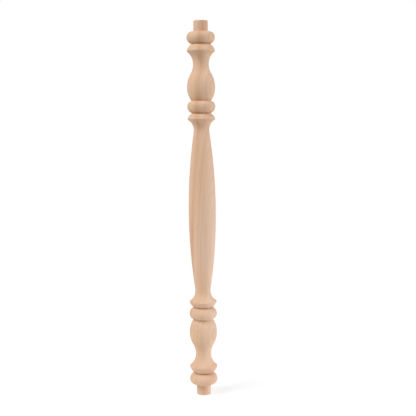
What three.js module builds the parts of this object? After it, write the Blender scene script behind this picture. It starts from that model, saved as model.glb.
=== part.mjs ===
import * as THREE from "three";

// A turned wooden baluster for a stair or a balustrade, with a round tenon at each end.
// Millimetres, +Z up along the turning axis, origin at the centre of the lower tenon's flat end.
// It is one solid, turned from one blank, and its upper half mirrors the lower half.

// Driving dimensions. Every "at" is a distance along the axis from the nearer end.
const LENGTH = 900;
const CREST_RADIUS = 33.5;
const INNER_CREST_RADIUS = CREST_RADIUS - 0.25;
const NECK_RADIUS = 18.6;
const QUIRK_RADIUS = 22.5;

const tenon = { radius: 17, length: 25, chamfer: 1.5 };
const shoulder = { radius: 21.5 };
const endBead = { radius: CREST_RADIUS, at: 38.5 };
const endQuirk = { radius: QUIRK_RADIUS, at: 53.5 };
const endCollar = { radius: CREST_RADIUS, at: 71, bulge: 2.1, bevel: 1.5 };
const endNeck = { radius: NECK_RADIUS, at: 100.5 };
const vase = { radius: INNER_CREST_RADIUS, at: 155, hollowShare: 0.43 };
const vaseQuirk = { radius: QUIRK_RADIUS + 0.5, at: 187 };
const innerBead = { radius: INNER_CREST_RADIUS, at: 200 };
const innerQuirk = { radius: QUIRK_RADIUS, at: 216 };
const innerCollar = { radius: INNER_CREST_RADIUS, at: 230.5, bulge: 1.75, bevel: 1 };
const innerNeck = { radius: NECK_RADIUS, at: 255 };
const belly = { radius: CREST_RADIUS - 1, at: LENGTH / 2, hollowShare: 0.05 };

// How finely the round shape is faceted: flats around the axis, and how far a chord of the
// outline may stand from its arc.
const SIDES = 36;
const CHORD_ERROR = 0.14;

const beech = new THREE.MeshStandardMaterial({ color: 0xd5b296, roughness: 0.7, metalness: 0 });

// The outline is a list of points (x is the radius, y the height) that each curve adds to.
const lastOf = (outline) => outline[outline.length - 1];

function lineTo(outline, radius, at) {
  outline.push(new THREE.Vector2(radius, at));
}

// Adds a circular arc from the last point, with just enough chords to keep CHORD_ERROR.
function arcAbout(outline, centre, radius, endAngle) {
  const start = lastOf(outline).clone().sub(centre);
  const startAngle = Math.atan2(start.y, start.x);
  const turn = Math.atan2(Math.sin(endAngle - startAngle), Math.cos(endAngle - startAngle));
  const widestStep = 2 * Math.acos(1 - CHORD_ERROR / radius);
  const chords = Math.ceil(Math.abs(turn) / widestStep);
  for (let i = 1; i <= chords; i++) {
    const angle = startAngle + (turn * i) / chords;
    const point = new THREE.Vector2(Math.cos(angle), Math.sin(angle));
    outline.push(point.multiplyScalar(radius).add(centre));
  }
}

// The radius of the arc between a point where the outline runs along the axis and another point.
function arcRadius(a, b) {
  const across = Math.abs(b.x - a.x);
  const along = Math.abs(b.y - a.y);
  return (across ** 2 + along ** 2) / (2 * across);
}

// A convex arc up to a crest, where the outline runs along the axis.
function riseTo(outline, crest) {
  const end = new THREE.Vector2(crest.radius, crest.at);
  const radius = arcRadius(end, lastOf(outline));
  arcAbout(outline, new THREE.Vector2(end.x - radius, end.y), radius, 0);
}

// A convex arc from a crest, where the outline runs along the axis, down into a quirk.
function fallTo(outline, quirk) {
  const end = new THREE.Vector2(quirk.radius, quirk.at);
  const start = lastOf(outline);
  const radius = arcRadius(start, end);
  const centre = new THREE.Vector2(start.x - radius, start.y);
  arcAbout(outline, centre, radius, end.clone().sub(centre).angle());
}

// A collar: a flat convex slope out of a quirk, a crisp crest, and a small bevel under it. The
// slope stands proud of its chord by the collar's bulge.
function collarTo(outline, collar) {
  const start = lastOf(outline);
  const end = new THREE.Vector2(collar.radius, collar.at);
  const chord = end.clone().sub(start);
  const radius = (chord.lengthSq() / 4 + collar.bulge ** 2) / (2 * collar.bulge);
  const inwards = new THREE.Vector2(-chord.y, chord.x).normalize();
  const middle = start.clone().add(end).multiplyScalar(0.5);
  const centre = middle.addScaledVector(inwards, radius - collar.bulge);
  arcAbout(outline, centre, radius, end.clone().sub(centre).angle());
  lineTo(outline, collar.radius - collar.bevel, collar.at + collar.bevel);
}

// A cove: a concave arc from the bevel of a collar to a neck, where it runs along the axis.
function coveTo(outline, neck) {
  const end = new THREE.Vector2(neck.radius, neck.at);
  const radius = arcRadius(end, lastOf(outline));
  arcAbout(outline, new THREE.Vector2(end.x + radius, end.y), radius, Math.PI);
}

// An ogee from a neck to a crest: a hollow arc and a full arc that meet on one tangent, both
// ends running along the axis. hollowShare is the hollow radius over the sum of both.
function ogeeTo(outline, crest) {
  const start = lastOf(outline);
  const bend = 2 * Math.atan2(crest.radius - start.x, crest.at - start.y);
  const bothRadii = (crest.at - start.y) / Math.sin(bend);
  const hollow = bothRadii * crest.hollowShare;
  const full = bothRadii - hollow;
  arcAbout(outline, new THREE.Vector2(start.x + hollow, start.y), hollow, Math.PI - bend);
  arcAbout(outline, new THREE.Vector2(crest.radius - full, crest.at), full, 0);
}

// Half of the outline, from the middle of the lower tenon's end to the widest point of the shaft.
function lowerHalf() {
  const outline = [new THREE.Vector2(0, 0)];
  lineTo(outline, tenon.radius - tenon.chamfer, 0);
  lineTo(outline, tenon.radius, tenon.chamfer);
  lineTo(outline, tenon.radius, tenon.length);
  lineTo(outline, shoulder.radius, tenon.length);
  riseTo(outline, endBead);
  fallTo(outline, endQuirk);
  collarTo(outline, endCollar);
  coveTo(outline, endNeck);
  ogeeTo(outline, vase);
  fallTo(outline, vaseQuirk);
  riseTo(outline, innerBead);
  fallTo(outline, innerQuirk);
  collarTo(outline, innerCollar);
  coveTo(outline, innerNeck);
  ogeeTo(outline, belly);
  return outline;
}

function wholeOutline() {
  const lower = lowerHalf();
  const upper = lower.slice(0, -1).reverse();
  return [...lower, ...upper.map((point) => new THREE.Vector2(point.x, LENGTH - point.y))];
}

function makeBaluster() {
  const mesh = new THREE.Mesh(new THREE.LatheGeometry(wholeOutline(), SIDES), beech);
  mesh.name = "baluster";
  // A lathe turns about Y, so it is stood up along Z.
  mesh.rotation.x = Math.PI / 2;
  return mesh;
}

const part = new THREE.Group();
part.add(makeBaluster());

export default part;
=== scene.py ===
"""Dresses a turned beech baluster: a smooth lathe mesh, raw sanded beech and a plain pale studio.

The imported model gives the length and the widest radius. Its one faceted solid is replaced by a mesh of
nearly the same outline, with eased edges, a fine tool line in the quirk of each collar, and enough rows
for the round forms to look round.
"""

from __future__ import annotations

import logging
import math
from dataclasses import dataclass, field, fields
from enum import Enum
from typing import Any, Union

import bpy
import numpy as np
from mathutils import Matrix, Vector

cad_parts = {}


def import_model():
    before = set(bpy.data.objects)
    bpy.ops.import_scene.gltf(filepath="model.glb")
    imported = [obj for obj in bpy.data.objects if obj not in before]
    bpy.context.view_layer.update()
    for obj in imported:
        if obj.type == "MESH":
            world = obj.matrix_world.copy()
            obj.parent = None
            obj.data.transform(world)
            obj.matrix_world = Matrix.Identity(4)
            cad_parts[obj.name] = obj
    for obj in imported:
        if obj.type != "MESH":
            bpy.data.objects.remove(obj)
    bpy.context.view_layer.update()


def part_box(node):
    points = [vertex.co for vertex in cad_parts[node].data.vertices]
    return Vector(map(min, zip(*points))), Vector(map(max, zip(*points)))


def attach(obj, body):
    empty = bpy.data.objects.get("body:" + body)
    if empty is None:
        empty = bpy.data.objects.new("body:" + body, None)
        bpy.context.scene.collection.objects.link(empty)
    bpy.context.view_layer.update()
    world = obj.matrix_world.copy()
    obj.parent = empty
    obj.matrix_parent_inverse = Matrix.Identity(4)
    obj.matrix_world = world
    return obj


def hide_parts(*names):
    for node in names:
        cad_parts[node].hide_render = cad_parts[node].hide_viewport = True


log = logging.getLogger("baluster")

MM = 0.001
PICTURE_SIDE_PX = 416
SENSOR_MM = 36.0

# The Mix node's colour sockets share their names with its other sockets, so they go by place.
MIX_SHARE = 0
MIX_FIRST_COLOUR = 6
MIX_SECOND_COLOUR = 7
MIX_MIXED_COLOUR = 2

Number = Union[float, int, "Value"]
Triple = tuple[float, float, float]
Colour = tuple[float, float, float, float]
Socket = bpy.types.NodeSocket


def from_screen(red: float, green: float, blue: float) -> Colour:
    """Turns a colour as it shows on a screen into the linear colour that a shader takes.

    It undoes the sRGB curve.

    Args:
        red: Red, from 0 to 255.
        green: Green, from 0 to 255.
        blue: Blue, from 0 to 255.

    Returns:
        The linear red, green and blue, and an alpha of 1.
    """
    shares = [channel / 255.0 for channel in (red, green, blue)]
    linear = [s / 12.92 if s <= 0.04045 else ((s + 0.055) / 1.055) ** 2.4 for s in shares]
    return (*linear, 1.0)


class Blend(Enum):
    """How a second colour is put over a first one."""

    MIX = "MIX"
    MULTIPLY = "MULTIPLY"


class Value:
    """One number in a shader. Python arithmetic on it adds the Math nodes."""

    def __init__(self, graph: Graph, socket: Socket) -> None:
        """Keeps the socket and the graph that it belongs to."""
        self.graph = graph
        self.socket = socket

    def maths(self, operation: str, *operands: Number) -> Value:
        """Applies one Math operation to the operands, in order."""
        return self.graph.value("ShaderNodeMath", {"operation": operation}, dict(enumerate(operands)))

    def __add__(self, other: Number) -> Value:
        """The sum."""
        return self.maths("ADD", self, other)

    def __radd__(self, other: Number) -> Value:
        """The sum, with a plain number first."""
        return self.maths("ADD", other, self)

    def __sub__(self, other: Number) -> Value:
        """The difference."""
        return self.maths("SUBTRACT", self, other)

    def __rsub__(self, other: Number) -> Value:
        """The difference, with a plain number first."""
        return self.maths("SUBTRACT", other, self)

    def __mul__(self, other: Number) -> Value:
        """The product."""
        return self.maths("MULTIPLY", self, other)

    def __rmul__(self, other: Number) -> Value:
        """The product, with a plain number first."""
        return self.maths("MULTIPLY", other, self)

    def __truediv__(self, other: Number) -> Value:
        """The quotient."""
        return self.maths("DIVIDE", self, other)

    def __pow__(self, other: Number) -> Value:
        """The power."""
        return self.maths("POWER", self, other)

    def __rpow__(self, other: Number) -> Value:
        """The power, with a plain number as the base."""
        return self.maths("POWER", other, self)

    def __neg__(self) -> Value:
        """The value with its sign changed."""
        return self.maths("MULTIPLY", self, -1.0)

    def __abs__(self) -> Value:
        """The size without its sign."""
        return self.maths("ABSOLUTE", self)

    def whole(self) -> Value:
        """The whole number at or below the value."""
        return self.maths("FLOOR", self)

    def angle_over(self, other: Value) -> Value:
        """The angle whose tangent is this value over the other."""
        return self.maths("ARCTAN2", self, other)


class Graph:
    """The node tree of one material or of the world."""

    def __init__(self, tree: bpy.types.NodeTree) -> None:
        """Empties the tree and keeps it."""
        tree.nodes.clear()
        self.tree = tree

    def add(self, kind: str, settings: dict[str, Any], sockets: dict[Any, Any]) -> bpy.types.Node:
        """Adds one node.

        Args:
            kind: The node's type.
            settings: Its properties, which are set first.
            sockets: A number, a colour, a Value or a socket for each input, by name or place.

        Returns:
            The node.
        """
        node = self.tree.nodes.new(kind)
        for name, setting in settings.items():
            setattr(node, name, setting)
        for key, given in sockets.items():
            given = given.socket if isinstance(given, Value) else given
            if isinstance(given, Socket):
                self.tree.links.new(given, node.inputs[key])
            else:
                node.inputs[key].default_value = given
        return node

    def value(self, kind: str, settings: dict[str, Any], sockets: dict[Any, Any]) -> Value:
        """Adds one node and gives its first output as a number."""
        return Value(self, self.add(kind, settings, sockets).outputs[0])

    def surface_point(self) -> Socket:
        """The point of the surface in metres, in the object's own coordinates."""
        return self.add("ShaderNodeTexCoord", {}, {}).outputs["Object"]

    def split(self, vector: Socket) -> list[Value]:
        """Splits a vector into its x, y and z."""
        outputs = self.add("ShaderNodeSeparateXYZ", {}, {0: vector}).outputs
        return [Value(self, output) for output in outputs]

    def joined(self, x: Number, y: Number, z: Number) -> Socket:
        """Joins three numbers into a vector."""
        return self.add("ShaderNodeCombineXYZ", {}, {0: x, 1: y, 2: z}).outputs[0]

    def blend(self, share: Number, first: Any, second: Any, how: Blend = Blend.MIX) -> Socket:
        """Puts one colour over another.

        Args:
            share: How much of the second colour there is, from 0 to 1.
            first: The first colour.
            second: The second colour.
            how: How the second colour is put over the first.

        Returns:
            The resulting colour.
        """
        settings = {"data_type": "RGBA", "blend_type": how.value, "clamp_factor": True}
        sockets = {MIX_SHARE: share, MIX_FIRST_COLOUR: first, MIX_SECOND_COLOUR: second}
        return self.add("ShaderNodeMix", settings, sockets).outputs[MIX_MIXED_COLOUR]


@dataclass(frozen=True)
class Rise:
    """A smooth step from 0 at the start to 1 at the end, which may be the lower of the two."""

    start: float
    end: float

    def of(self, value: Value) -> Value:
        """The step's share at a value."""
        sockets = {"Value": value, "From Min": self.start, "From Max": self.end}
        return value.graph.value("ShaderNodeMapRange", {"interpolation_type": "SMOOTHSTEP"}, sockets)


@dataclass(frozen=True)
class StretchedNoise:
    """Smooth noise from 0 to 1, with how often it changes in a metre along each axis of a point."""

    per_metre: Triple
    detail: float = 2.0
    roughness: float = 0.5

    def at(self, graph: Graph, point: Socket) -> Value:
        """The noise at a point, whose axes are first multiplied by the noise's own factors.

        Args:
            graph: The graph that the point is in.
            point: The point, in metres.

        Returns:
            The noise.
        """
        stretched = graph.add(
            "ShaderNodeVectorMath", {"operation": "MULTIPLY"}, {0: point, 1: self.per_metre}
        ).outputs[0]
        sockets = {"Vector": stretched, "Scale": 1.0, "Detail": self.detail, "Roughness": self.roughness}
        return graph.value("ShaderNodeTexNoise", {}, sockets)


@dataclass(frozen=True)
class Tint:
    """A colour that is multiplied in as some value rises or falls."""

    colour: Colour
    rise: Rise

    def over(self, graph: Graph, colour: Socket, value: Value) -> Socket:
        """Puts the tint over a colour, as strongly as the value asks."""
        return graph.blend(self.rise.of(value), colour, self.colour, Blend.MULTIPLY)


@dataclass(frozen=True)
class Heart:
    """The heart line of the tree, about which the growth rings lie. It stands beside the blank.

    The leans are how far it goes aside along x and y for each metre of height.
    """

    distance: float = 95.0 * MM
    azimuth: float = math.radians(-38.0)
    lean_x: float = 0.05
    lean_y: float = -0.02

    def measured(self, x: Value, y: Value, z: Value) -> tuple[Value, Value]:
        """Measures a point from the heart line, at the point's own height.

        The arc is the angle between the line from the heart to the blank and the line from the heart
        to the point, times the heart's distance from the blank.

        Args:
            x: The point's x in metres.
            y: Its y in metres.
            z: Its height in metres.

        Returns:
            The distance from the heart line and the arc, in metres.
        """
        cosine = math.cos(self.azimuth)
        sine = math.sin(self.azimuth)
        across_x = x - (z * self.lean_x + self.distance * cosine)
        across_y = y - (z * self.lean_y + self.distance * sine)
        distance = (across_x * across_x + across_y * across_y) ** 0.5
        towards_blank = across_x * -cosine + across_y * -sine
        sideways = across_y * cosine - across_x * sine
        return distance, sideways.angle_over(towards_blank) * self.distance


@dataclass(frozen=True)
class DarkRing:
    """A few years of darker wood: a soft band about one distance from the heart line."""

    distance: float
    spread: float
    depth: float

    def share(self, distance: Value) -> Value:
        """How much of the dark colour there is: a bell curve about the band's own distance."""
        return math.e ** -(((distance - self.distance) / self.spread) ** 2.0) * self.depth


@dataclass(frozen=True)
class Pattern:
    """The pattern of the wood at each point of its surface.

    The first two attributes are in metres, and the others run from 0 to 1.

    Attributes:
        height: How far up the baluster the point is.
        grown: How far it is from the heart line, with the waver of the tree's growth.
        late: How late in its year the wood has grown.
        ring: The same, times the depth of that year's ring.
        era: Broad bands of slower growth.
        streak: Fine streaks along the grain.
        fibre: The fibres, finer still.
        patch: Wide, soft patches.
        sanding: Sanding marks around the piece.
        fleck: The ends of the rays.
        end_grain: How nearly the surface cuts the fibres straight across.
    """

    height: Value
    grown: Value
    late: Value
    ring: Value
    era: Value
    streak: Value
    fibre: Value
    patch: Value
    sanding: Value
    fleck: Value
    end_grain: Value


@dataclass(frozen=True)
class Weights:
    """A sum of parts of the pattern: what it starts from, and the weight of each part."""

    start: float = 0.0
    late: float = 0.0
    ring: float = 0.0
    era: float = 0.0
    streak: float = 0.0
    fibre: float = 0.0
    patch: float = 0.0
    sanding: float = 0.0
    fleck: float = 0.0
    end_grain: float = 0.0

    def total(self, pattern: Pattern) -> Number:
        """Adds up the parts, leaving out those of no weight.

        Args:
            pattern: The pattern whose parts are added.

        Returns:
            The sum.
        """
        total: Number = self.start
        for part in fields(pattern):
            weight = getattr(self, part.name, 0.0)
            if weight:
                total = total + getattr(pattern, part.name) * weight
        return total


@dataclass(frozen=True)
class RawBeech:
    """Raw sanded beech: pale pinkish tan, with faint rings and short brown ray flecks.

    The eras and rays lie in the tree's own coordinates, which are the distance from the heart line,
    the arc around it and the height. Rings follow that distance. Rays run outwards from the heart, so
    their flecks are long across the rings, short along the height and thin along the arc. The sanding
    marks lie in the lathe's coordinates, the distance from its axis and the height, so they run
    around the piece.
    """

    slot: str = "beech"

    heart: Heart = Heart()
    ring_width: float = 3.6 * MM
    waver: StretchedNoise = StretchedNoise((14.0, 14.0, 3.5))
    waver_reach: float = 8.0 * MM
    ripple: StretchedNoise = StretchedNoise((60.0, 60.0, 9.0))
    ripple_reach: float = 1.6 * MM
    late_rise: Rise = Rise(0.35, 0.92)
    year_end: Rise = Rise(1.0, 0.93)
    faintest_ring: float = 0.12
    ring_variety: float = 0.4

    eras: StretchedNoise = StretchedNoise((130.0, 12.0, 4.0), detail=1.0)
    era_rise: Rise = Rise(0.3, 0.75)
    rays: StretchedNoise = StretchedNoise((150.0, 2300.0, 420.0), detail=1.0)
    ray_rise: Rise = Rise(0.60, 0.70)
    streaks: StretchedNoise = StretchedNoise((700.0, 700.0, 9.0), detail=3.0)
    fibres: StretchedNoise = StretchedNoise((2600.0, 2600.0, 70.0))
    patches: StretchedNoise = StretchedNoise((22.0, 22.0, 5.0), detail=1.0)
    sanding: StretchedNoise = StretchedNoise((1900.0, 1.0, 1900.0), roughness=0.7)
    end_grain_sharpness: float = 16.0

    early_wood: Colour = from_screen(224, 193, 168)
    late_wood: Colour = from_screen(209, 172, 143)
    late_share: Weights = Weights(start=0.01, ring=1.0, era=0.22, streak=0.25)
    rosy_patches: Tint = Tint(from_screen(252, 240, 238), Rise(0.5, 0.75))
    honey_patches: Tint = Tint(from_screen(254, 248, 240), Rise(0.5, 0.25))
    warmer_head: Tint = Tint(from_screen(254, 252, 248), Rise(0.42, 0.72))
    warmer_foot: Tint = Tint(from_screen(251, 249, 244), Rise(0.3, 0.08))
    dark_tint: Colour = from_screen(233, 208, 175)
    dark_share: Weights = Weights(start=-0.1, streak=0.6, patch=1.0)
    dark_rings: tuple[DarkRing, ...] = (
        DarkRing(127.5 * MM, 7.0 * MM, 0.55),
        DarkRing(110.5 * MM, 2.4 * MM, 0.25),
        DarkRing(102.5 * MM, 2.4 * MM, 0.3),
    )
    ray_fleck: Colour = from_screen(184, 142, 112)
    ray_fleck_share: float = 0.3
    cut_end: Colour = from_screen(240, 222, 206)

    relief: Weights = Weights(fibre=0.5, streak=0.3, late=0.2, fleck=-0.3, sanding=0.3)
    relief_depth: float = 0.12 * MM
    relief_strength: float = 0.5
    roughness: Weights = Weights(start=0.62, fibre=0.12, end_grain=0.08, fleck=-0.05)
    refractive_index: float = 1.45
    specular_level: float = 0.35

    def rings(self, graph: Graph, grown: Value) -> tuple[Value, Value]:
        """Divides the growth into years.

        Late wood comes in through each year and ends sharply with it. The depth of a year's ring is
        random, from faintest_ring to that plus ring_variety.

        Args:
            graph: The material's graph.
            grown: How far from the heart line the wood has grown, in metres.

        Returns:
            How late in its year the wood has grown, and the same times the depth of that year's ring.
        """
        years = grown / self.ring_width
        year = years.whole()
        within = years - year
        late = self.late_rise.of(within) * self.year_end.of(within)
        chance = graph.value("ShaderNodeTexWhiteNoise", {"noise_dimensions": "1D"}, {"W": year})
        return late, late * (self.faintest_ring + chance * self.ring_variety)

    def pattern(self, graph: Graph) -> Pattern:
        """Works out the wood's pattern.

        Args:
            graph: The material's graph.

        Returns:
            The pattern.
        """
        point = graph.surface_point()
        x, y, z = graph.split(point)
        distance, arc = self.heart.measured(x, y, z)
        in_tree = graph.joined(distance, arc, z)
        on_lathe = graph.joined((x * x + y * y) ** 0.5, 0.0, z)
        waver = (self.waver.at(graph, point) - 0.5) * self.waver_reach
        ripple = (self.ripple.at(graph, point) - 0.5) * self.ripple_reach
        grown = distance + waver + ripple
        late, ring = self.rings(graph, grown)
        normal = graph.add("ShaderNodeNewGeometry", {}, {}).outputs["Normal"]
        _, _, upwards = graph.split(normal)
        return Pattern(
            height=z,
            grown=grown,
            late=late,
            ring=ring,
            era=self.era_rise.of(self.eras.at(graph, in_tree)),
            streak=self.streaks.at(graph, point),
            fibre=self.fibres.at(graph, point),
            patch=self.patches.at(graph, point),
            sanding=self.sanding.at(graph, on_lathe),
            fleck=self.ray_rise.of(self.rays.at(graph, in_tree)),
            end_grain=abs(upwards) ** self.end_grain_sharpness,
        )

    def colour(self, graph: Graph, pattern: Pattern) -> Socket:
        """Colours the wood: its rings first, then the tints, the darker years, the flecks and the ends.

        Args:
            graph: The material's graph.
            pattern: The wood's pattern.

        Returns:
            The colour.
        """
        colour = graph.blend(self.late_share.total(pattern), self.early_wood, self.late_wood)
        colour = self.rosy_patches.over(graph, colour, pattern.patch)
        colour = self.honey_patches.over(graph, colour, pattern.patch)
        colour = self.warmer_head.over(graph, colour, pattern.height)
        colour = self.warmer_foot.over(graph, colour, pattern.height)
        uneven = self.dark_share.total(pattern)
        for dark_ring in self.dark_rings:
            share = dark_ring.share(pattern.grown) * uneven
            colour = graph.blend(share, colour, self.dark_tint, Blend.MULTIPLY)
        colour = graph.blend(pattern.fleck * self.ray_fleck_share, colour, self.ray_fleck)
        return graph.blend(pattern.end_grain, colour, self.cut_end, Blend.MULTIPLY)

    def material(self) -> bpy.types.Material:
        """Makes the material.

        Returns:
            The material.
        """
        made = bpy.data.materials.new("raw sanded beech")
        made.use_nodes = True
        graph = Graph(made.node_tree)
        pattern = self.pattern(graph)
        bump = {
            "Strength": self.relief_strength,
            "Distance": self.relief_depth,
            "Height": self.relief.total(pattern),
        }
        surface = {
            "Base Color": self.colour(graph, pattern),
            "Roughness": self.roughness.total(pattern),
            "Normal": graph.add("ShaderNodeBump", {}, bump).outputs[0],
            "IOR": self.refractive_index,
            "Specular IOR Level": self.specular_level,
        }
        shader = graph.add("ShaderNodeBsdfPrincipled", {}, surface)
        graph.add("ShaderNodeOutputMaterial", {}, {"Surface": shader.outputs[0]})
        return made


@dataclass(frozen=True)
class Corner:
    """A corner of the outline: how far the curves beside it are cut back, and how far it is sunk.

    A sunk corner is a fine groove, cut towards the axis where the two curves meet.
    """

    ease: float = 0.0
    sunk: float = 0.0


SHARP = Corner()


@dataclass(frozen=True)
class Turning:
    """A place on the outline: its radius and its distance from the nearer end."""

    radius: float
    at: float


@dataclass
class Outline:
    """The outline of a turned piece, grown curve by curve from the foot upwards.

    Each curve is an array of (radius, height) rows in metres, with both of its ends, and has the
    corner before it. An eased corner is replaced by a short curve.
    """

    longest_chord: float = 2.4 * MM
    shortest_chord: float = 0.1 * MM
    widest_turn: float = math.radians(3.0)
    ease_steps: int = 6
    curves: list[np.ndarray] = field(default_factory=list)
    corners: list[Corner] = field(default_factory=list)

    def last(self) -> tuple[float, float]:
        """The radius and height where the outline now ends."""
        radius, height = self.curves[-1][-1]
        return float(radius), float(height)

    def start_at(self, radius: float, height: float) -> None:
        """Puts down the first point."""
        self.curves.append(np.array([[radius, height]]))
        self.corners.append(SHARP)

    def line_to(self, radius: float, height: float, corner: Corner = SHARP) -> None:
        """Adds a straight line from the last point.

        Args:
            radius: The radius where it ends.
            height: The height where it ends.
            corner: The corner before it.
        """
        start = np.array(self.last())
        end = np.array((radius, height))
        steps = max(2, math.ceil(float(np.linalg.norm(end - start)) / self.longest_chord))
        share = np.linspace(0.0, 1.0, steps + 1)[:, None]
        self.curves.append(start * (1.0 - share) + end * share)
        self.corners.append(corner)

    def arc_about(
        self, centre: tuple[float, float], radius: float, end_angle: float, corner: Corner = SHARP
    ) -> None:
        """Adds a circular arc from the last point, the shorter way round its centre.

        A point of the arc is the centre plus the arc's radius times (cosine, sine) of an angle that
        runs evenly from the last point's own angle to end_angle.

        Args:
            centre: The arc's centre, as a radius and a height.
            radius: The arc's own radius.
            end_angle: The angle at which it ends.
            corner: The corner before it.
        """
        begin = self.last()
        start_angle = math.atan2(begin[1] - centre[1], begin[0] - centre[0])
        turn = math.remainder(end_angle - start_angle, math.tau)
        steps = math.ceil(max(abs(turn) / self.widest_turn, abs(turn) * radius / self.longest_chord))
        angle = start_angle + turn * np.linspace(0.0, 1.0, steps + 1)
        arc = np.stack([np.cos(angle), np.sin(angle)], axis=1)
        self.curves.append(np.array(centre) + radius * arc)
        self.corners.append(corner)

    @staticmethod
    def arc_radius(along_axis: tuple[float, float], other: tuple[float, float]) -> float:
        """The radius of the arc through two points that runs along the axis at the first of them.

        It is the square of the distance between them over twice the difference of their radii.

        Args:
            along_axis: The point where the arc runs along the axis, as a radius and a height.
            other: The other point.

        Returns:
            The arc's own radius.
        """
        across = abs(other[0] - along_axis[0])
        along = abs(other[1] - along_axis[1])
        return (across**2 + along**2) / (2.0 * across)

    def rise_to(self, crest: Turning, corner: Corner = SHARP) -> None:
        """Adds a full arc up to a crest, where the outline runs along the axis."""
        radius = self.arc_radius((crest.radius, crest.at), self.last())
        self.arc_about((crest.radius - radius, crest.at), radius, 0.0, corner)

    def fall_to(self, quirk: Turning) -> None:
        """Adds a full arc from a crest, where the outline runs along the axis, down into a quirk.

        Args:
            quirk: Where it ends.
        """
        start = self.last()
        radius = self.arc_radius(start, (quirk.radius, quirk.at))
        centre = (start[0] - radius, start[1])
        self.arc_about(centre, radius, math.atan2(quirk.at - centre[1], quirk.radius - centre[0]))

    def slope_to(self, crest: Turning, bulge: float, corner: Corner) -> None:
        """Adds a flat full arc up to a crest.

        Its radius is the square of half its chord plus the square of the bulge, over twice the bulge.

        Args:
            crest: Where it ends.
            bulge: How far it stands proud of its chord.
            corner: The corner before it.
        """
        start = np.array(self.last())
        end = np.array((crest.radius, crest.at))
        chord = end - start
        length = float(np.linalg.norm(chord))
        radius = (length**2 / 4.0 + bulge**2) / (2.0 * bulge)
        inwards = np.array((-chord[1], chord[0])) / length
        centre = (start + end) / 2.0 + inwards * (radius - bulge)
        end_angle = math.atan2(end[1] - centre[1], end[0] - centre[0])
        self.arc_about((float(centre[0]), float(centre[1])), radius, end_angle, corner)

    def cove_to(self, neck: Turning, corner: Corner) -> None:
        """Adds a hollow arc from a collar's edge to a neck, where the outline runs along the axis."""
        radius = self.arc_radius((neck.radius, neck.at), self.last())
        self.arc_about((neck.radius + radius, neck.at), radius, math.pi, corner)

    def ogee_to(self, crest: Turning, hollow_share: float) -> None:
        """Adds an S curve from a neck to a crest, with both ends running along the axis.

        It is a hollow arc and a full arc that meet on one tangent. Both turn through twice the
        angle of the straight line between the ends, and their radii add up to the height between
        the ends over the sine of that turn.

        Args:
            crest: Where it ends.
            hollow_share: The hollow arc's radius over the sum of both radii.
        """
        start = self.last()
        rise = crest.at - start[1]
        turn = 2.0 * math.atan2(crest.radius - start[0], rise)
        both = rise / math.sin(turn)
        hollow = both * hollow_share
        full = both - hollow
        self.arc_about((start[0] + hollow, start[1]), hollow, math.pi - turn)
        self.arc_about((crest.radius - full, crest.at), full, 0.0)

    def trimmed(self, curve: np.ndarray, front: float, back: float) -> np.ndarray:
        """Cuts a curve back at both ends.

        Args:
            curve: The curve.
            front: The distance along it that is cut off at its start.
            back: The distance that is cut off at its end.

        Returns:
            What is left of the curve.
        """
        steps = np.linalg.norm(np.diff(curve, axis=0), axis=1)
        along = np.concatenate(([0.0], np.cumsum(steps)))
        end = along[-1] - back
        kept = along[(along > front + self.shortest_chord) & (along < end - self.shortest_chord)]
        at = np.concatenate(([front], kept, [end]))
        return np.column_stack([np.interp(at, along, curve[:, k]) for k in (0, 1)])

    def points(self) -> np.ndarray:
        """Joins the curves into one line.

        An eased corner becomes the curve (1-t)²·a + 2t(1-t)·c + t²·b, where a and b are the points
        to which the curves before and after it were cut back, c is the corner's own point, sunk
        towards the axis, and t runs from 0 to 1.

        Returns:
            One (radius, height) row for each point, with no point twice.
        """
        share = np.linspace(0.0, 1.0, self.ease_steps + 1)[1:-1, None]
        joined = self.curves[0]
        next_corners = [*self.corners[2:], SHARP]
        for curve, corner, next_corner in zip(self.curves[1:], self.corners[1:], next_corners):
            kept = self.trimmed(curve, corner.ease, next_corner.ease)
            if corner.ease > 0.0:
                point = curve[0] - (corner.sunk, 0.0)
                bend = (1 - share) ** 2 * joined[-1] + 2 * share * (1 - share) * point + share**2 * kept[0]
                joined = np.vstack([joined, bend, kept])
            else:
                joined = np.vstack([joined, kept[1:]])
        return joined


@dataclass(frozen=True)
class Collar:
    """A collar: how far its crest is from the nearer end, its slope's bulge and the bevel under it."""

    at: float
    bulge: float
    bevel: float


@dataclass(frozen=True)
class BalusterSizes:
    """The sizes of the baluster. The length and the crest radius are read from the frame."""

    length: float
    crest: float
    tenon_radius: float = 17.0 * MM
    tenon_length: float = 25.0 * MM
    tenon_chamfer: float = 1.5 * MM
    shoulder_radius: float = 21.5 * MM
    end_bead_at: float = 38.5 * MM
    end_quirk: Turning = Turning(22.0 * MM, 54.0 * MM)
    end_collar: Collar = Collar(71.0 * MM, 2.1 * MM, 1.5 * MM)
    end_neck: Turning = Turning(18.6 * MM, 100.5 * MM)
    inner_below_crest: float = 0.25 * MM
    vase_at: float = 155.0 * MM
    vase_hollow_share: float = 0.43
    vase_quirk: Turning = Turning(23.0 * MM, 187.0 * MM)
    inner_bead_at: float = 200.0 * MM
    inner_quirk: Turning = Turning(22.2 * MM, 216.2 * MM)
    inner_collar: Collar = Collar(230.5 * MM, 1.75 * MM, 1.0 * MM)
    inner_neck: Turning = Turning(18.6 * MM, 255.0 * MM)
    belly_below_crest: float = 1.0 * MM
    shaft_hollow_share: float = 0.05
    edge: Corner = Corner(0.4 * MM)
    collar_crest: Corner = Corner(0.6 * MM)
    collar_bevel: Corner = Corner(0.7 * MM)
    quirk: Corner = Corner(0.4 * MM)
    tool_line: Corner = Corner(0.8 * MM, 2.2 * MM)


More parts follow.
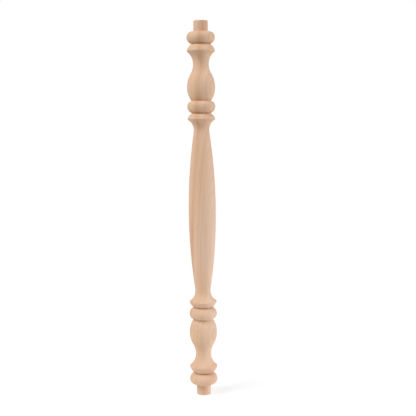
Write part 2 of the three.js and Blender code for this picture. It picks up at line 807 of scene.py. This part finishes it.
@dataclass
class Baluster:
    """The whole baluster, one solid turned from one blank."""

    sizes: BalusterSizes
    node: str = "baluster"
    name: str = "turned_baluster"
    body: str = "root"
    sides: int = 112

    def lower_half(self) -> Outline:
        """Draws the outline from the middle of the lower end to the widest point of the shaft.

        Returns:
            The outline of the lower half.
        """
        s = self.sizes
        drawn = Outline()
        drawn.start_at(0.0, 0.0)
        drawn.line_to(s.tenon_radius - s.tenon_chamfer, 0.0)
        drawn.line_to(s.tenon_radius, s.tenon_chamfer, s.edge)
        drawn.line_to(s.tenon_radius, s.tenon_length, s.edge)
        drawn.line_to(s.shoulder_radius, s.tenon_length, s.quirk)
        drawn.rise_to(Turning(s.crest, s.end_bead_at))
        drawn.fall_to(s.end_quirk)
        self.add_collar(drawn, s.crest, s.end_collar, s.end_neck)
        inner_crest = s.crest - s.inner_below_crest
        drawn.ogee_to(Turning(inner_crest, s.vase_at), s.vase_hollow_share)
        drawn.fall_to(s.vase_quirk)
        drawn.rise_to(Turning(inner_crest, s.inner_bead_at), s.quirk)
        drawn.fall_to(s.inner_quirk)
        self.add_collar(drawn, inner_crest, s.inner_collar, s.inner_neck)
        drawn.ogee_to(Turning(s.crest - s.belly_below_crest, s.length / 2.0), s.shaft_hollow_share)
        return drawn

    def add_collar(self, drawn: Outline, crest: float, collar: Collar, neck: Turning) -> None:
        """Adds a collar out of a quirk, its bevel, and the cove from the bevel to a neck.

        The turner's tool has cut a fine line at the bottom of the quirk.

        Args:
            drawn: The outline, which ends at the quirk.
            crest: The collar's largest radius.
            collar: The collar's place and form.
            neck: Where the cove ends.
        """
        s = self.sizes
        drawn.slope_to(Turning(crest, collar.at), collar.bulge, s.tool_line)
        drawn.line_to(crest - collar.bevel, collar.at + collar.bevel, s.collar_crest)
        drawn.cove_to(neck, s.collar_bevel)

    def outline(self) -> np.ndarray:
        """Joins the lower half of the outline and its mirror image above the middle.

        Returns:
            One (radius, height) row for each point.
        """
        lower = self.lower_half().points()
        upper = lower[-2::-1] * (1.0, -1.0) + (0.0, self.sizes.length)
        return np.vstack([lower, upper])

    def vertices(self, outline: np.ndarray) -> np.ndarray:
        """Turns the outline about the vertical axis.

        The point of row i and side j is (r·cos a, r·sin a, z), with (r, z) from row i of the outline
        and a the j-th of the equal angles of a full turn. The two ends on the axis are one point each.

        Args:
            outline: One (radius, height) row for each point, from the lower end to the upper one.

        Returns:
            One (x, y, z) row for each vertex: ring by ring, then the lower end and the upper end.
        """
        rings = outline[1:-1]
        angle = np.arange(self.sides) * (math.tau / self.sides)
        radius = rings[:, :1]
        height = np.broadcast_to(rings[:, 1:], (len(rings), self.sides))
        grid = np.stack([radius * np.cos(angle), radius * np.sin(angle), height], axis=2)
        ends = np.array([[0.0, 0.0, outline[0, 1]], [0.0, 0.0, outline[-1, 1]]])
        return np.vstack([grid.reshape(-1, 3), ends])

    def faces(self, rings: int) -> list[list[int]]:
        """Joins the vertices into a closed surface that faces outwards.

        A wall joins vertices (i, j), (i, j+1), (i+1, j+1) and (i+1, j) of rings i and i+1. The two
        ends are joined to the nearest ring by triangles.

        Args:
            rings: The number of rings of vertices.

        Returns:
            The numbers of each face's vertices.
        """
        number = np.arange(rings * self.sides).reshape(rings, self.sides)
        beside = np.roll(number, -1, axis=1)
        walls = np.stack([number[:-1], beside[:-1], beside[1:], number[1:]], axis=2).reshape(-1, 4)
        lower_end = np.full(self.sides, number.size)
        upper_end = lower_end + 1
        under = np.stack([lower_end, beside[0], number[0]], axis=1)
        over = np.stack([upper_end, number[-1], beside[-1]], axis=1)
        return walls.tolist() + under.tolist() + over.tolist()

    def build(self) -> bpy.types.Object:
        """Makes the smooth mesh.

        Returns:
            The mesh object.
        """
        outline = self.outline()
        mesh = bpy.data.meshes.new(self.name)
        mesh.from_pydata(self.vertices(outline).tolist(), [], self.faces(len(outline) - 2))
        mesh.shade_smooth()
        made = bpy.data.objects.new(self.name, mesh)
        bpy.context.scene.collection.objects.link(made)
        return made

    def dress(self, made: bpy.types.Object, finish: RawBeech) -> None:
        """Gives the mesh its wood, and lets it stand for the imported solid.

        Args:
            made: The mesh object.
            finish: The wood.
        """
        made.data.materials.append(finish.material())
        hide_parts(self.node)
        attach(made, self.body)


class LampTint(Enum):
    """The tint of a soft light's white."""

    NEUTRAL = (0.99, 1.0, 1.02)
    BLUISH = (0.94, 1.0, 1.11)


@dataclass(frozen=True)
class SoftLight:
    """A large, soft studio light: where it hangs, how large and how bright it is, and its tint."""

    name: str
    place: Triple
    width: float
    height: float
    watts: float
    tint: LampTint

    def hang(self, facing: Triple) -> None:
        """Puts the light in the scene.

        Args:
            facing: The point that it faces.
        """
        lamp = bpy.data.lights.new(self.name, "AREA")
        lamp.shape = "RECTANGLE"
        lamp.size = self.width
        lamp.size_y = self.height
        lamp.energy = self.watts
        lamp.color = self.tint.value
        hung = bpy.data.objects.new(self.name, lamp)
        hung.location = self.place
        away = Vector(self.place) - Vector(facing)
        hung.rotation_euler = away.to_track_quat("Z", "Y").to_euler()
        bpy.context.scene.collection.objects.link(hung)


@dataclass
class Studio:
    """A white studio: a pale floor lit from below, an even white surround and large soft lights.

    The surround looks white, but it lights the baluster only weakly, so the large lights can still
    model the round forms. The floor glows a little, as a light table does, and fades into the
    surround. The main light is at the upper left, with two weaker ones on the other side and one
    behind. All of them face the baluster's middle, whose height is given.
    """

    middle: float
    floor_radius: float = 2.0
    floor_sides: int = 96
    floor_colour: Colour = (0.35, 0.35, 0.35, 1.0)
    floor_glow: float = 0.67
    floor_fade: Rise = Rise(0.5, 1.9)
    surround: Colour = (1.0, 1.0, 1.0, 1.0)
    fill: Colour = (0.31, 0.29, 0.26, 1.0)
    lights: tuple[SoftLight, ...] = (
        SoftLight("upper_left", (-3.4, -2.0, 4.4), 3.0, 3.0, 248.0, LampTint.NEUTRAL),
        SoftLight("upper_right", (3.4, -2.0, 4.4), 3.0, 3.0, 56.0, LampTint.BLUISH),
        SoftLight("right_side", (5.0, -0.6, 1.3), 3.0, 2.4, 148.0, LampTint.BLUISH),
        SoftLight("behind", (-0.6, 5.2, 2.4), 2.4, 2.4, 110.0, LampTint.NEUTRAL),
    )

    def paint(self) -> bpy.types.Material:
        """Makes the floor's matt, glowing paint, which fades to clear away from the baluster.

        Returns:
            The material.
        """
        paint = bpy.data.materials.new("pale floor")
        paint.use_nodes = True
        graph = Graph(paint.node_tree)
        x, y, _ = graph.split(graph.surface_point())
        clear = self.floor_fade.of((x * x + y * y) ** 0.5)
        matt = graph.add("ShaderNodeBsdfDiffuse", {}, {"Color": self.floor_colour}).outputs[0]
        glow = graph.add("ShaderNodeEmission", {}, {"Strength": self.floor_glow}).outputs[0]
        lit = graph.add("ShaderNodeAddShader", {}, {0: matt, 1: glow}).outputs[0]
        through = graph.add("ShaderNodeBsdfTransparent", {}, {}).outputs[0]
        mixed = graph.add("ShaderNodeMixShader", {}, {0: clear, 1: lit, 2: through}).outputs[0]
        graph.add("ShaderNodeOutputMaterial", {}, {"Surface": mixed})
        return paint

    def lay_floor(self) -> None:
        """Lays a round floor under the baluster's lower end."""
        angle = np.arange(self.floor_sides) * (math.tau / self.floor_sides)
        rim = np.stack([np.cos(angle), np.sin(angle), np.zeros_like(angle)], axis=1) * self.floor_radius
        mesh = bpy.data.meshes.new("floor")
        mesh.from_pydata(rim.tolist(), [], [list(range(self.floor_sides))])
        mesh.materials.append(self.paint())
        floor = bpy.data.objects.new("floor", mesh)
        bpy.context.scene.collection.objects.link(floor)

    def surround_with_light(self) -> None:
        """Fills everything beyond the floor with white, which lights things only with the warmer fill."""
        world = bpy.data.worlds.new("white surround")
        world.use_nodes = True
        graph = Graph(world.node_tree)
        seen = graph.add("ShaderNodeLightPath", {}, {}).outputs["Is Camera Ray"]
        colour = graph.blend(seen, self.fill, self.surround)
        glow = graph.add("ShaderNodeBackground", {}, {"Color": colour})
        graph.add("ShaderNodeOutputWorld", {}, {"Surface": glow.outputs[0]})
        bpy.context.scene.world = world

    def build(self) -> None:
        """Lays the floor, hangs the lights and sets how the picture is developed."""
        self.lay_floor()
        self.surround_with_light()
        for light in self.lights:
            light.hang((0.0, 0.0, self.middle))
        bpy.context.scene.view_settings.view_transform = "Standard"


@dataclass(frozen=True)
class StudioCamera:
    """The camera, placed as for the photograph.

    Distances are from the turning axis and the lower end. It looks level along +Y, and is then turned
    down, aside and about its own line of sight.
    """

    distance: float = 1.983
    height: float = 0.657
    down: float = math.radians(5.748)
    aside: float = math.radians(-0.4)
    roll: float = math.radians(-0.5)
    focal_px: float = 829.6

    def set_up(self) -> None:
        """Puts the camera in the scene and makes it the one in use."""
        data = bpy.data.cameras.new("camera")
        data.sensor_width = SENSOR_MM
        data.lens = self.focal_px * SENSOR_MM / PICTURE_SIDE_PX
        camera = bpy.data.objects.new("camera", data)
        level = Matrix.Rotation(math.pi / 2.0 - self.down, 4, "X")
        turned = Matrix.Rotation(self.aside, 4, "Z") @ level @ Matrix.Rotation(self.roll, 4, "Z")
        camera.matrix_world = Matrix.Translation((0.0, -self.distance, self.height)) @ turned
        bpy.context.scene.collection.objects.link(camera)
        bpy.context.scene.camera = camera


def main() -> None:
    """Loads the frame, turns and dresses the baluster, and sets up the studio and the camera.

    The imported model's box is kept before anything is added to the scene.
    """
    logging.basicConfig(level=logging.INFO, format="%(name)s: %(message)s")
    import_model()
    low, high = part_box(Baluster.node)
    sizes = BalusterSizes(length=high.z - low.z, crest=(high.x - low.x) / 2.0)
    baluster = Baluster(sizes)
    made = baluster.build()
    baluster.dress(made, RawBeech())
    log.info("%s: %d faces, stands for %s", made.name, len(made.data.polygons), baluster.node)
    Studio(middle=sizes.length / 2.0).build()
    StudioCamera().set_up()


if __name__ == "__main__":
    main()
